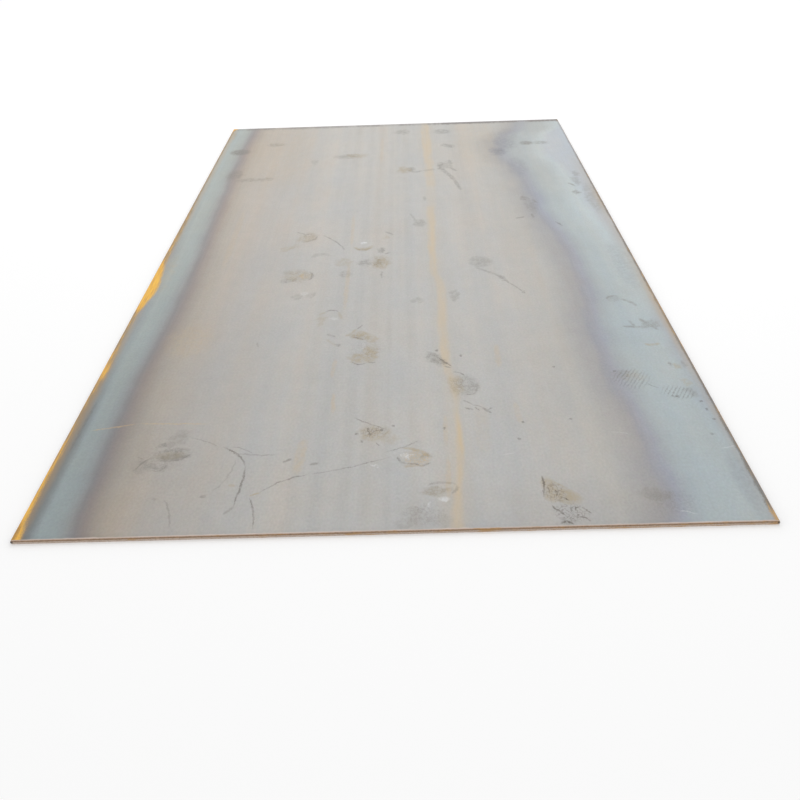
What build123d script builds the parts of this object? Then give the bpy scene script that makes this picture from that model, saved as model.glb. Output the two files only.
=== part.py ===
"""Hot-rolled steel plate, cut to length from wide strip, lying flat on its underside.

The two long sides keep the rounded edge that the rolls left on them.  The two short ends were
cut by a guillotine shear.  On each end the blade pulled one face down into a rounded roll-over,
left a smooth upright land below it, and the rest broke away on a slope towards the other face.
One stroke makes the end of one plate and the start of the next, so the roll-over is on the top
face at the front end and on the underside at the rear end.

Frame: +Z up, +Y along the length towards the rear end, origin in the middle of the underside.
"""

import os

from build123d import *

# Plate, in millimetres
plate_width = 1500.0
plate_length = 3000.0
plate_thickness = 10.0

# Rolled long sides: how far the rounded nose reaches out past the flat faces
mill_nose_depth = 3.2

# Sheared ends
roll_over_radius = 1.4
land_height = 3.4
blade_clearance = 0.9  # offset between the two blades, which the broken slope runs across

# Room that the cutting shapes take beyond the plate
overrun = 5.0

half_width = plate_width / 2
half_length = plate_length / 2
half_thickness = plate_thickness / 2
flat_half_width = half_width - mill_nose_depth
land_foot = roll_over_radius + land_height

# The rolled section stands at the front end, and a shear plane stands on the corner that its
# blade met first: local X runs into the plate, local Y points out of the face with the roll-over
section_plane = Plane((0, -half_length, 0), x_dir=(-1, 0, 0), z_dir=(0, 1, 0))
front_shear = Plane((0, -half_length, plate_thickness), x_dir=(0, 1, 0), z_dir=(1, 0, 0))
rear_shear = Plane((0, half_length, 0), x_dir=(0, -1, 0), z_dir=(1, 0, 0))

with BuildPart() as plate:
    # Rolled section: two flat faces, with a rounded nose mirrored to both sides
    with BuildSketch(section_plane) as rolled_section:
        with BuildLine() as section_outline:
            Line((0, 0), (flat_half_width, 0))
            ThreePointArc(
                (flat_half_width, 0),
                (half_width, half_thickness),
                (flat_half_width, plate_thickness),
            )
            Line((flat_half_width, plate_thickness), (0, plate_thickness))
            mirror(about=Plane.YZ)
        make_face()
    extrude(amount=plate_length)

    # Sheared ends: the scrap beyond the cut, whose inner side is roll-over, land and broken slope
    with BuildSketch(front_shear, rear_shear) as shear_scrap:
        with BuildLine() as cut_line:
            roll_over = CenterArc((roll_over_radius, -roll_over_radius), roll_over_radius, 90, 90)
            Polyline(
                roll_over @ 1,
                (0, -land_foot),
                (blade_clearance, -plate_thickness),
                (blade_clearance, -plate_thickness - overrun),
                (-overrun, -plate_thickness - overrun),
                (-overrun, overrun),
                (roll_over_radius, overrun),
                roll_over @ 0,
            )
        make_face()
    extrude(amount=half_width + overrun, both=True, mode=Mode.SUBTRACT)

plate.part.label = "plate"

os.makedirs("parts", exist_ok=True)
export_step(plate.part, "parts/plate.step")
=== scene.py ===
"""Dresses one hot-rolled steel plate and lays it on a pale studio floor.

The top face is warm grey mill scale with a blue-grey heat band along each long side.  Rust
follows the rolled edges, a tan streak runs the length of the face, and dusty shoe marks and fine
scratches lie on it.  Those marks are placed in millimetres as (across, along): across is
measured to the right from the middle of the plate, along from its front end.  All other lengths
are in metres.
"""

from __future__ import annotations

import logging
import math
from dataclasses import dataclass
from enum import Enum
from typing import Any, ClassVar, Mapping, Optional, Sequence, Union

import bmesh
import bpy
from mathutils import Matrix, Vector, noise

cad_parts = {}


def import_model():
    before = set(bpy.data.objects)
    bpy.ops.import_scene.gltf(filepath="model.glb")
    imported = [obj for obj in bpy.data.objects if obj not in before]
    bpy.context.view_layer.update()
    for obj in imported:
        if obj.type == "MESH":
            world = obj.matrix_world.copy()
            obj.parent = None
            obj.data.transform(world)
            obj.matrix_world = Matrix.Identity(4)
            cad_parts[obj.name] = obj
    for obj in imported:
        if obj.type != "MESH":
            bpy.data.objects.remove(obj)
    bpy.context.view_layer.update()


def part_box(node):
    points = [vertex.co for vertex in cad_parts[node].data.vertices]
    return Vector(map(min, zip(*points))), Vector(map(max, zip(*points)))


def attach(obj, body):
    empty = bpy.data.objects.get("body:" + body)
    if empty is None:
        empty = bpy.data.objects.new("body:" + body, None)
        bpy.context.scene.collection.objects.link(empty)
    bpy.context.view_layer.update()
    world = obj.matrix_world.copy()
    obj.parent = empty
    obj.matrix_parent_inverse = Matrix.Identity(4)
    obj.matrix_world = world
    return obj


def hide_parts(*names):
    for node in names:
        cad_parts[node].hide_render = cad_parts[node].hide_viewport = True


LOG = logging.getLogger("steel_plate")

Colour = tuple[float, float, float]
Spot = tuple[float, float]
Stops = Sequence[tuple[float, Colour]]
Track = Sequence[tuple[float, float]]

WHITE: Colour = (1.0, 1.0, 1.0)

PLATE_NODE = "plate"
PLATE_BODY = "root"

MM_PER_METRE = 1000.0

# Refractive index of mill scale and of a rusty surface
SCALE_IOR = 1.7
RUST_IOR = 1.6

# What a soft noise centres on, and the range that most of it lies in
NOISE_MIDDLE = 0.5
NOISE_RANGE: Spot = (0.3, 0.7)


class Field:
    """A shader socket that takes part in Python sums, with one number for each surface point."""

    def __init__(self, board: "NodeBoard", socket: bpy.types.NodeSocket) -> None:
        """Keeps the board that makes the nodes and the socket that is wrapped."""
        self.board = board
        self.socket = socket

    def __add__(self, other: "Operand") -> "Field":
        """Adds a number or field."""
        return self.board.math("ADD", self, other)

    __radd__ = __add__

    def __mul__(self, other: "Operand") -> "Field":
        """Multiplies by a number or field."""
        return self.board.math("MULTIPLY", self, other)

    __rmul__ = __mul__

    def __sub__(self, other: "Operand") -> "Field":
        """Takes a number or field away."""
        return self.board.math("SUBTRACT", self, other)

    def __rsub__(self, other: "Operand") -> "Field":
        """Takes this field away from a number."""
        return self.board.math("SUBTRACT", other, self)

    def __abs__(self) -> "Field":
        """Drops the sign."""
        return self.board.math("ABSOLUTE", self)

    def most(self, other: "Operand") -> "Field":
        """The larger of the two at each point."""
        return self.board.math("MAXIMUM", self, other)

    def rise(self, start: float, end: float, low: float = 0.0, high: float = 1.0) -> "Field":
        """Eases from low to high while the field goes from start to end.

        Args:
            start: Field value where the result is low.
            end: Field value where the result is high; it may lie below start.
            low: Result before start.
            high: Result after end.

        Returns:
            The eased field.
        """
        return self.board.node(
            "ShaderNodeMapRange",
            {"interpolation_type": "SMOOTHSTEP"},
            {"Value": self, "From Min": start, "From Max": end, "To Min": low, "To Max": high},
        )

    def ease(self, low: float = 0.0, high: float = 1.0) -> "Field":
        """Eases from low to high over the range of a noise."""
        return self.rise(*NOISE_RANGE, low, high)


Operand = Union[Field, float]


class NodeBoard:
    """One node tree, and the only place where its nodes are made."""

    def __init__(self, tree: bpy.types.NodeTree) -> None:
        """Empties the tree."""
        self.tree = tree
        self.tree.nodes.clear()

    def node(
        self,
        kind: str,
        settings: Optional[Mapping[str, Any]] = None,
        inputs: Optional[Mapping[Union[str, int], Any]] = None,
        output: Union[str, int, None] = 0,
    ) -> Optional[Field]:
        """Adds one node.

        Args:
            kind: Blender's name for the node type.
            settings: Properties, set first; stops fills a colour ramp and points a float curve.
            inputs: Links or plain values by socket name or number.
            output: The socket that is handed back, or None for a node without one.

        Returns:
            The chosen output socket.
        """
        made = self.tree.nodes.new(kind)
        for name, value in (settings or {}).items():
            if name == "stops":
                self._fill_ramp(made.color_ramp.elements, value)
            elif name == "points":
                self._fill_curve(made.mapping, value)
            else:
                setattr(made, name, value)
        for key, value in (inputs or {}).items():
            socket = made.inputs[key]
            if isinstance(value, Field):
                self.tree.links.new(value.socket, socket)
            elif socket.type == "RGBA":
                socket.default_value = (*value, 1.0)
            elif socket.default_value != value:
                socket.default_value = value
        return None if output is None else Field(self, made.outputs[output])

    @staticmethod
    def _fill_ramp(elements: Any, stops: Stops) -> None:
        """Puts the stops of a colour ramp in place of Blender's two."""
        elements.remove(elements[-1])
        elements[0].position = stops[0][0]
        elements[0].color = (*stops[0][1], 1.0)
        for position, colour in stops[1:]:
            elements.new(position).color = (*colour, 1.0)

    @staticmethod
    def _fill_curve(mapping: Any, points: Track) -> None:
        """Puts the points of a float curve in place of Blender's two."""
        mapping.extend = "HORIZONTAL"
        curve = mapping.curves[0]
        curve.points[0].location = points[0]
        curve.points[1].location = points[-1]
        for point in points[1:-1]:
            curve.points.new(*point)
        mapping.update()

    def math(self, operation: str, *operands: Operand) -> Field:
        """Adds a Math node on numbers and fields."""
        return self.node("ShaderNodeMath", {"operation": operation}, dict(enumerate(operands)))

    def vector(self, operation: str, *operands: Any) -> Field:
        """Adds a Vector Math node; a dot product comes back as a number."""
        output = "Value" if operation == "DOT_PRODUCT" else "Vector"
        settings = {"operation": operation}
        return self.node("ShaderNodeVectorMath", settings, dict(enumerate(operands)), output)

    def blend(self, share: Operand, under: Any, over: Any, mode: str = "MIX") -> Field:
        """Lays one colour over another.

        Args:
            share: How much of the upper colour shows, from 0 to 1.
            under: Lower colour, plain or linked.
            over: Upper colour, plain or linked.
            mode: Blender's blend type.

        Returns:
            The blended colour.
        """
        settings = {"data_type": "RGBA", "blend_type": mode}
        return self.node("ShaderNodeMix", settings, {0: share, 6: under, 7: over}, 2)

    def dye(self, colour: Field, factor: Field) -> Field:
        """Multiplies a colour by a colour or a number."""
        return self.blend(1.0, colour, factor, "MULTIPLY")

    def backdrop_rays(self) -> Field:
        """1 where a surface is seen as the backdrop: directly, mirrored or through glass."""
        seen = self.node("ShaderNodeLightPath", output="Is Camera Ray")
        outputs = seen.socket.node.outputs
        mirrored = Field(self, outputs["Is Glossy Ray"])
        return seen.most(mirrored).most(Field(self, outputs["Is Transmission Ray"]))


class SurfaceBoard(NodeBoard):
    """The node tree of one material, with the patterns that its finish is made of."""

    def __init__(self, name: str) -> None:
        """Makes an empty material of that name."""
        self.material = bpy.data.materials.new(name)
        self.material.use_nodes = True
        super().__init__(self.material.node_tree)
        self.place = self.node("ShaderNodeTexCoord", output="Object")

    def parts(self, vector: Field) -> tuple[Field, Field, Field]:
        """Splits a vector into its three numbers."""
        first = self.node("ShaderNodeSeparateXYZ", None, {"Vector": vector}, "X")
        sockets = first.socket.node.outputs
        return first, Field(self, sockets["Y"]), Field(self, sockets["Z"])

    def local(self, where: Field, spot: Spot, turn: float, reach: Spot) -> tuple[Field, Field]:
        """Coordinates centred on a spot, turned and measured in reaches.

        Args:
            where: Places on the face, with 1 as their third number.
            spot: The new origin.
            turn: Angle of the new first axis, in radians.
            reach: What counts as 1 along each new axis.

        Returns:
            The two coordinates as seen from the spot.
        """
        axes = Matrix.Rotation(turn, 2)
        rows = []
        for axis, size in zip(axes.transposed(), reach):
            shift = -axis.dot(Vector(spot)) / size
            rows.append(self.vector("DOT_PRODUCT", where, (*(axis / size), shift)))
        return rows[0], rows[1]

    def grain(
        self, stretch: Sequence[float], start: float, detail: float = 2.0, output: str = "Fac"
    ) -> Field:
        """Adds soft noise with its own stretch along each axis.

        Args:
            stretch: Features per metre along X and Y, and along Z where the noise needs depth.
            start: Offset into the noise, so that no two grains look alike.
            detail: How many finer layers are added.
            output: Fac for one number, Color for three.

        Returns:
            The noise, from 0 to 1 and mostly near a half.
        """
        flat = len(stretch) == 2
        scale = (*stretch, 0.0) if flat else tuple(stretch)
        where = self.vector("MULTIPLY_ADD", self.place, scale, (start, start, start))
        settings = {"noise_dimensions": "2D" if flat else "3D"}
        inputs = {"Vector": where, "Scale": 1.0, "Detail": detail, "Roughness": 0.55}
        return self.node("ShaderNodeTexNoise", settings, inputs, output)

    def between(self, value: Field, first: float, last: float) -> Field:
        """How far the value has come on its way from first to last, as a share."""
        return self.math("MULTIPLY_ADD", value, 1 / (last - first), -first / (last - first))

    def track(self, value: Field, points: Track) -> Field:
        """Reads a drawn curve.

        Args:
            value: Where along the curve.
            points: The curve as (value, size).

        Returns:
            The size at each point.
        """
        first, last = points[0][0], points[-1][0]
        low = min(size for _, size in points)
        span = max(size for _, size in points) - low
        unit = [((spot - first) / (last - first), (size - low) / span) for spot, size in points]
        share = self.between(value, first, last)
        return self.node("ShaderNodeFloatCurve", {"points": unit}, {"Value": share}) * span + low

    def ramp(self, value: Field, stops: Stops) -> Field:
        """Reads a colour ramp whose stops stand at sizes of the value itself."""
        first, last = stops[0][0], stops[-1][0]
        unit = [((spot - first) / (last - first), colour) for spot, colour in stops]
        share = self.between(value, first, last)
        return self.node("ShaderNodeValToRGB", {"stops": unit}, {"Fac": share}, "Color")

    def finish(self, inputs: Mapping[str, Any]) -> bpy.types.Material:
        """Ends the tree in a Principled surface with these inputs."""
        surface = self.node("ShaderNodeBsdfPrincipled", None, inputs, "BSDF")
        self.node("ShaderNodeOutputMaterial", None, {"Surface": surface}, None)
        return self.material

    def steel(
        self, colour: Field, roughness: Field, height: Field, depth: float, ior: float
    ) -> bpy.types.Material:
        """Ends the tree in a steel surface.

        Args:
            colour: Base colour.
            roughness: How dull the surface is.
            height: Relief, from 0 to 1.
            depth: How deep the relief is, in metres.
            ior: Refractive index of what covers the steel.

        Returns:
            The finished material.
        """
        relief = {"Height": height, "Distance": depth, "Strength": 1.0}
        normal = self.node("ShaderNodeBump", None, relief, "Normal")
        inputs = {"Base Color": colour, "Roughness": roughness, "Normal": normal, "IOR": ior}
        return self.finish(inputs)


class Soil(Enum):
    """What lies on the top face, by colour, with pale rubs that carry painted highlights."""

    DUST = (0.215, 0.203, 0.182)
    CLAY = (0.370, 0.303, 0.198)
    RUST = (0.540, 0.370, 0.160)
    SOOT = (0.105, 0.088, 0.072)
    HAZE = (0.232, 0.236, 0.262)
    # Pale rubbed scale, partly a painted highlight: the white glints in the prints
    RUB = (0.680, 0.690, 0.700)


class Body(Enum):
    """How the soil breaks up within a mark."""

    SMEAR = "smear"
    LINE = "line"
    SCRIBBLE = "scribble"


DUST, CLAY, RUST, SOOT, HAZE, RUB = Soil
SMEAR, LINE, SCRIBBLE = Body


@dataclass(frozen=True)
class Oval:
    """An oval place on the face, which a mark fills."""

    soil: Soil
    spot: Spot
    reach: Spot
    strength: float
    turn: float = 0.0

    def stretch(self) -> Spot:
        """Where the oval begins and ends, measured from the front end."""
        return self.spot[1] - max(self.reach), self.spot[1] + max(self.reach)

    def fill(self, board: SurfaceBoard, where: Field, core: float) -> Field:
        """Rises from 0 at the rim to the strength.

        Args:
            board: The board of the finish.
            where: Places on the face.
            core: Squared distance from the middle at which the strength is reached.

        Returns:
            How thickly the oval is filled at each place.
        """
        run, aside = board.local(where, self.spot, math.radians(self.turn), self.reach)
        away = board.math("MULTIPLY_ADD", run, run, aside * aside)
        return away.rise(1.0, core, 0.0, self.strength)


@dataclass(frozen=True)
class Blot(Oval):
    """A patch, densest in the middle."""

    # Squared distance from the middle within which the patch has its full strength
    core: ClassVar[float] = 0.12
    body: Body = SMEAR

    def cover(self, board: SurfaceBoard, where: Field) -> Field:
        """How thickly the patch covers each place, from 0 to its strength."""
        return self.fill(board, where, self.core)


@dataclass(frozen=True)
class Tread(Oval):
    """A print of slanting ribs."""

    # Squared distance from the middle within which the ribs have their full strength
    core: ClassVar[float] = 0.25
    body: ClassVar[Body] = LINE
    rib_pitch: float = 8.8
    rib_turn: float = 61.0
    # Height of the wave at which a rib is at full strength
    rib_crest: float = 0.9

    def cover(self, board: SurfaceBoard, where: Field) -> Field:
        """How thickly the ribs cover each place, from 0 to the print's strength."""
        angle = math.radians(self.rib_turn)
        rate = math.tau / self.rib_pitch
        across_ribs = (-math.sin(angle) * rate, math.cos(angle) * rate, 0.0)
        wave = board.math("SINE", board.vector("DOT_PRODUCT", where, across_ribs))
        return wave.rise(0.0, self.rib_crest) * self.fill(board, where, self.core)


@dataclass(frozen=True)
class Stroke:
    """A line from one spot to another, bowed so that it passes through a third."""

    # Squared distance from its middle within which the line has its full strength
    core: ClassVar[float] = 0.1
    body: ClassVar[Body] = LINE
    soil: Soil
    start: Spot
    end: Spot
    half_width: float
    strength: float
    through: Optional[Spot] = None

    def stretch(self) -> Spot:
        """Where the line begins and ends, measured from the front end."""
        places = [spot[1] for spot in (self.start, self.end, self.through or self.end)]
        return min(places) - self.half_width, max(places) + self.half_width

    def cover(self, board: SurfaceBoard, where: Field) -> Field:
        """How thickly the line covers each place, from 0 to its strength."""
        start = Vector(self.start)
        chord = Vector(self.end) - start
        middle = start + chord / 2
        side = Vector((-chord.y, chord.x)).normalized()
        bow = (Vector(self.through) - middle).dot(side) if self.through else 0.0
        crown = middle + side * bow
        reach = (chord.length / 2, self.half_width)
        run, aside = board.local(where, tuple(crown), math.atan2(chord.y, chord.x), reach)
        run_squared = run * run
        if self.through:
            aside = board.math("MULTIPLY_ADD", run_squared, bow / self.half_width, aside)
        away = board.math("MULTIPLY_ADD", aside, aside, run_squared * run_squared)
        return away.rise(1.0, self.core, 0.0, self.strength)


Mark = Union[Blot, Stroke, Tread]


def scribble(spot: Spot, reach: Spot, strength: float) -> Blot:
    """A patch of fine sooty scribbles."""
    return Blot(SOOT, spot, reach, strength, body=SCRIBBLE)


# Leaf-shaped sole print in clay, near the front end on the right
CLAY_PRINT: tuple[Mark, ...] = (
    Blot(CLAY, (324, 126), (21, 50), 0.75, 14, LINE),
    Blot(CLAY, (348, 98), (44, 30), 0.85, -36, LINE),
    Blot(CLAY, (328, 100), (28, 28), 0.70, body=LINE),
    Stroke(SOOT, (311, 174), (305, 94), 2.9, 0.80, (310, 130)),
    Stroke(CLAY, (311, 168), (384, 96), 4.0, 0.55),
    Stroke(SOOT, (331, 122), (330, 98), 2.2, 0.75, (335, 109)),
    Stroke(SOOT, (318, 130), (322, 112), 2.0, 0.60),
    Stroke(SOOT, (337, 96), (357, 83), 2.6, 0.80),
    Stroke(SOOT, (317, 71), (343, 31), 2.7, 0.80, (329, 49)),
    Stroke(SOOT, (365, 45), (375, 60), 2.7, 0.85, (366, 57)),
    Stroke(SOOT, (374, 60), (392, 38), 2.6, 0.75),
    Stroke(SOOT, (359, 27), (386, 10), 2.7, 0.75, (376, 27)),
    Stroke(SOOT, (360, 27), (367, 37), 2.8, 0.72),
    Stroke(SOOT, (327, 7), (339, 18), 3.2, 0.90),
    Stroke(SOOT, (338, 18), (353, 4), 3.2, 0.90),
    Blot(DUST, (338, 12), (16, 11), 0.50),
    Blot(SOOT, (352, 42), (42, 38), 0.45, -40, SCRIBBLE),
    scribble((330, 110), (26, 44), 0.40),
)

# Speckled print with a dark upper rim, left of the middle
SPECKLED_PRINT: tuple[Mark, ...] = (
    Stroke(SOOT, (-97, 429), (-8, 365), 2.3, 0.55, (-60, 397)),
    Blot(CLAY, (-44, 354), (44, 40), 0.66, -15),
    Blot(CLAY, (-18, 334), (42, 26), 0.42, -20),
    Stroke(SOOT, (-61, 368), (-50, 350), 2.3, 0.70),
    Stroke(SOOT, (-51, 350), (-25, 367), 2.3, 0.60, (-40, 363)),
    Stroke(SOOT, (-39, 318), (-30, 300), 2.3, 0.50),
    scribble((-44, 358), (40, 34), 0.30),
)

# Heel print with a clay rim, on the long scratch
RIMMED_HEEL: tuple[Mark, ...] = (
    Stroke(CLAY, (16, 292), (82, 245), 8.0, 0.75, (54, 278)),
    Blot(DUST, (71, 252), (13, 14), 0.60),
    Stroke(SOOT, (9, 258), (30, 226), 3.0, 0.50, (15, 238)),
    Stroke(SOOT, (25, 227), (61, 218), 3.2, 0.55, (46, 227)),
    Blot(CLAY, (43, 222), (26, 9), 0.70),
    Stroke(DUST, (60, 218), (81, 229), 3.4, 0.75),
    Blot(CLAY, (46, 252), (38, 34), 0.46),
    Blot(RUST, (50, 250), (40, 36), 0.40, body=SCRIBBLE),
    # Pale rubs with painted highlights: the white glints on the heel
    Blot(RUB, (28, 259), (11, 15), 0.75),
    Blot(RUB, (-45, 227), (11, 5), 0.50),
)

# Heel print across the tan streak at the front end
FRONT_HEEL: tuple[Mark, ...] = (
    Stroke(DUST, (69, 145), (132, 146), 5.6, 0.55, (102, 157)),
    Stroke(DUST, (131, 147), (117, 115), 5.2, 0.50, (130, 128)),
    Blot(DUST, (89, 127), (40, 17), 0.52),
    Blot(CLAY, (88, 124), (36, 18), 0.36),
    # Pale rubs with painted highlights: white glints in the heel print
    Blot(RUB, (104, 99), (16, 12), 0.62, body=LINE),
    Blot(RUB, (74, 83), (9, 6), 0.45),
    Blot(DUST, (46, 52), (36, 26), 0.34),
    Blot(DUST, (30, 22), (36, 18), 0.36),
    Blot(DUST, (90, 30), (36, 26), 0.28),
    scribble((60, 50), (60, 50), 0.16),
)

# Dark wedge, ring and hook that lie across the tan streak further on
STREAK_PRINTS: tuple[Mark, ...] = (
    Blot(DUST, (109, 698), (50, 21), 0.80, -60),
    Blot(DUST, (100, 688), (18, 22), 0.60),
    Stroke(SOOT, (116, 703), (147, 654), 3.2, 0.60),
    Stroke(DUST, (124, 663), (145, 647), 3.4, 0.75),
    Stroke(DUST, (146, 630), (177, 604), 3.4, 0.80, (163, 623)),
    Blot(DUST, (178, 562), (34, 58), 0.42, 10),
    Stroke(DUST, (158, 520), (203, 550), 4.5, 0.65, (191, 517)),
    Blot(DUST, (196, 552), (13, 30), 0.60),
    Blot(CLAY, (152, 560), (24, 66), 0.55),
    scribble((172, 556), (44, 66), 0.20),
    Stroke(DUST, (163, 488), (187, 470), 3.4, 0.60),
    Stroke(SOOT, (180, 470), (214, 446), 2.6, 0.40, (194, 463)),
    Stroke(DUST, (165, 454), (188, 442), 3.4, 0.80),
    Stroke(SOOT, (189, 453), (203, 437), 3.0, 0.50),
    Stroke(SOOT, (208, 453), (230, 423), 3.8, 0.58),
    Stroke(SOOT, (218, 438), (230, 451), 3.4, 0.50),
    Blot(DUST, (175, 1085), (17, 56), 0.50),
    Blot(DUST, (66, 1058), (28, 22), 0.40),
)

# Two clay prints and two faint rings, left of the middle
CLAY_STEPS: tuple[Mark, ...] = (
    Stroke(CLAY, (-133, 838), (-99, 885), 5.5, 0.60),
    Stroke(SOOT, (-101, 883), (-85, 909), 3.2, 0.50),
    Blot(CLAY, (-88, 842), (44, 32), 0.80, -30),
    Blot(DUST, (-94, 838), (34, 16), 0.45, -25),
    Stroke(SOOT, (-111, 837), (-77, 818), 3.8, 0.45),
    Blot(CLAY, (-58, 822), (24, 26), 0.58),
    Blot(CLAY, (-64, 742), (26, 56), 0.86),
    Blot(CLAY, (-92, 714), (40, 30), 0.78, -25),
    Stroke(SOOT, (-111, 697), (-67, 690), 3.8, 0.52, (-90, 680)),
    Stroke(SOOT, (-69, 692), (-45, 688), 3.4, 0.42),
    scribble((-70, 760), (50, 80), 0.14),
    Stroke(SOOT, (-197, 998), (-157, 998), 5.0, 0.48, (-176, 1008)),
    Stroke(CLAY, (-213, 979), (-193, 1001), 5.5, 0.45),
    Stroke(CLAY, (-158, 999), (-146, 947), 6.5, 0.42),
    Blot(CLAY, (-204, 945), (14, 45), 0.42),
    # Faint pale rub with a painted highlight
    Blot(RUB, (-172, 956), (14, 14), 0.30),
    Stroke(DUST, (-183, 859), (-157, 839), 5.5, 0.55),
    Stroke(CLAY, (-185, 831), (-153, 785), 5.5, 0.36),
    Blot(DUST, (-151, 790), (10, 16), 0.65),
)

# Prints and smears about the middle of the length
MIDDLE_PRINTS: tuple[Mark, ...] = (
    Blot(CLAY, (-292, 1586), (40, 54), 0.55, -25),
    Stroke(SOOT, (-334, 1638), (-298, 1614), 5.0, 0.45),
    Stroke(DUST, (-311, 1544), (-260, 1602), 6.5, 0.70, (-275, 1560)),
    Stroke(DUST, (-304, 1578), (-260, 1613), 5.5, 0.60, (-290, 1619)),
    Stroke(SOOT, (-247, 1608), (-158, 1453), 4.0, 0.42, (-195, 1540)),
    Blot(CLAY, (-344, 1494), (44, 24), 0.52, 35),
    Stroke(DUST, (-270, 1401), (-200, 1420), 16.0, 0.30, (-240, 1433)),
    Blot(CLAY, (-158, 1362), (38, 42), 0.45),
    Blot(DUST, (-94, 1350), (28, 36), 0.55),
    Blot(CLAY, (-40, 1350), (34, 66), 0.80),
    Blot(DUST, (-53, 1352), (13, 36), 0.75),
    Blot(DUST, (-42, 1453), (13, 36), 0.70),
    Stroke(SOOT, (-31, 1419), (-12, 1435), 5.5, 0.42),
    Stroke(CLAY, (-139, 1487), (-67, 1499), 16.0, 0.70, (-108, 1463)),
    Stroke(DUST, (-132, 1474), (-72, 1482), 8.0, 0.45, (-106, 1460)),
    # Pale rub with a painted highlight: the white glint in the clay print
    Blot(RUB, (-100, 1524), (16, 16), 0.80),
    Stroke(DUST, (-33, 1622), (-1, 1585), 7.0, 0.60),
    Blot(CLAY, (-30, 1560), (16, 22), 0.40),
    Blot(CLAY, (-296, 1262), (60, 56), 0.52, -25),
    Blot(DUST, (-320, 1230), (34, 18), 0.60, 35),
    Blot(RUST, (-279, 1255), (14, 18), 0.60),
    Stroke(DUST, (-263, 1292), (-263, 1223), 5.5, 0.70, (-252, 1256)),
    Blot(DUST, (-332, 1292), (22, 23), 0.28),
    Blot(DUST, (-150, 1266), (25, 31), 0.45),
    Stroke(DUST, (-40, 1286), (-38, 1224), 4.0, 0.60),
    Blot(DUST, (-288, 1105), (18, 28), 0.42),
    Blot(DUST, (-244, 1116), (15, 28), 0.40),
    # Faint pale rub with a painted highlight
    Blot(RUB, (-266, 1126), (13, 20), 0.25),
    scribble((-290, 1262), (60, 70), 0.14),
    scribble((-60, 1360), (60, 70), 0.13),
    scribble((-292, 1586), (50, 60), 0.14),
    Blot(DUST, (268, 1332), (44, 52), 0.52),
    Stroke(DUST, (248, 1292), (332, 1206), 8.0, 0.45),
    Stroke(SOOT, (318, 1214), (382, 1088), 3.6, 0.42),
    Blot(SOOT, (326, 1198), (12, 30), 0.50, 30),
    Blot(SOOT, (379, 1094), (8, 12), 0.60),
    Stroke(DUST, (606, 1024), (648, 1050), 7.5, 0.62, (622, 1050)),
    Stroke(DUST, (640, 1030), (682, 976), 7.5, 0.55, (664, 1014)),
    Blot(DUST, (628, 1028), (26, 26), 0.32),
    Blot(DUST, (472, 1915), (18, 34), 0.75),
    Stroke(DUST, (499, 1907), (515, 1858), 6.5, 0.65),
    Blot(DUST, (488, 1830), (30, 90), 0.45),
    Stroke(DUST, (417, 1711), (453, 1724), 6.5, 0.75),
    Stroke(DUST, (480, 1757), (481, 1710), 6.0, 0.65),
    Stroke(SOOT, (551, 1672), (570, 1623), 4.5, 0.48),
    Blot(DUST, (86, 1694), (32, 44), 0.52),
    Stroke(DUST, (52, 1800), (82, 1690), 6.5, 0.38),
    Stroke(DUST, (108, 1975), (112, 1920), 6.0, 0.45),
    Stroke(DUST, (655, 2083), (680, 2035), 6.5, 0.65),
    Blot(DUST, (670, 1968), (16, 30), 0.85),
    Blot(DUST, (704, 2187), (16, 46), 0.50),
    Blot(DUST, (722, 1900), (36, 200), 0.40),
    Blot(HAZE, (705, 1280), (40, 240), 0.30),
)

# Prints towards the rear end, seen nearly edge on
REAR_PRINTS: tuple[Mark, ...] = (
    Blot(DUST, (-205, 2510), (70, 36), 0.50),
    Blot(CLAY, (-160, 2514), (56, 42), 0.60),
    Blot(DUST, (-664, 2618), (52, 54), 0.95, body=LINE),
    Blot(DUST, (-640, 2300), (44, 70), 0.70),
    Blot(DUST, (-560, 2232), (90, 30), 0.50),
    Blot(DUST, (-500, 2236), (24, 30), 0.55),
    Blot(DUST, (-520, 2716), (50, 36), 0.52),
    Blot(DUST, (-330, 2440), (16, 40), 0.36),
    Blot(CLAY, (36, 2300), (34, 50), 0.80),
    Blot(DUST, (64, 2306), (22, 36), 0.62),
    Stroke(DUST, (50, 2312), (118, 2284), 15.0, 0.48, (75, 2274)),
    Stroke(DUST, (108, 2280), (165, 2300), 15.0, 0.34),
    Blot(DUST, (186, 2330), (20, 70), 0.80),
    Blot(DUST, (214, 2350), (24, 60), 0.42),
    Stroke(DUST, (180, 2320), (236, 2130), 12.0, 0.52, (212, 2222)),
    Stroke(DUST, (226, 2190), (250, 2020), 8.5, 0.56),
    Stroke(DUST, (222, 2420), (226, 2350), 9.0, 0.50),
    Stroke(DUST, (218, 2322), (246, 2262), 9.0, 0.52),
    Blot(DUST, (229, 2622), (24, 44), 0.62, 40),
    Blot(DUST, (30, 2862), (40, 50), 0.52),
    Blot(DUST, (212, 2852), (52, 50), 0.56),
    Blot(DUST, (562, 2629), (36, 36), 0.80, body=LINE),
    Blot(DUST, (622, 2628), (42, 34), 0.56),
    Blot(HAZE, (432, 2520), (46, 80), 0.90),
    Blot(HAZE, (470, 2640), (60, 120), 0.62),
    Blot(HAZE, (500, 2780), (50, 120), 0.32),
    Blot(HAZE, (490, 2300), (50, 160), 0.40),
    Blot(DUST, (436, 2520), (22, 34), 0.50),
    Blot(DUST, (690, 2100), (22, 70), 0.50),
)

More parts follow.
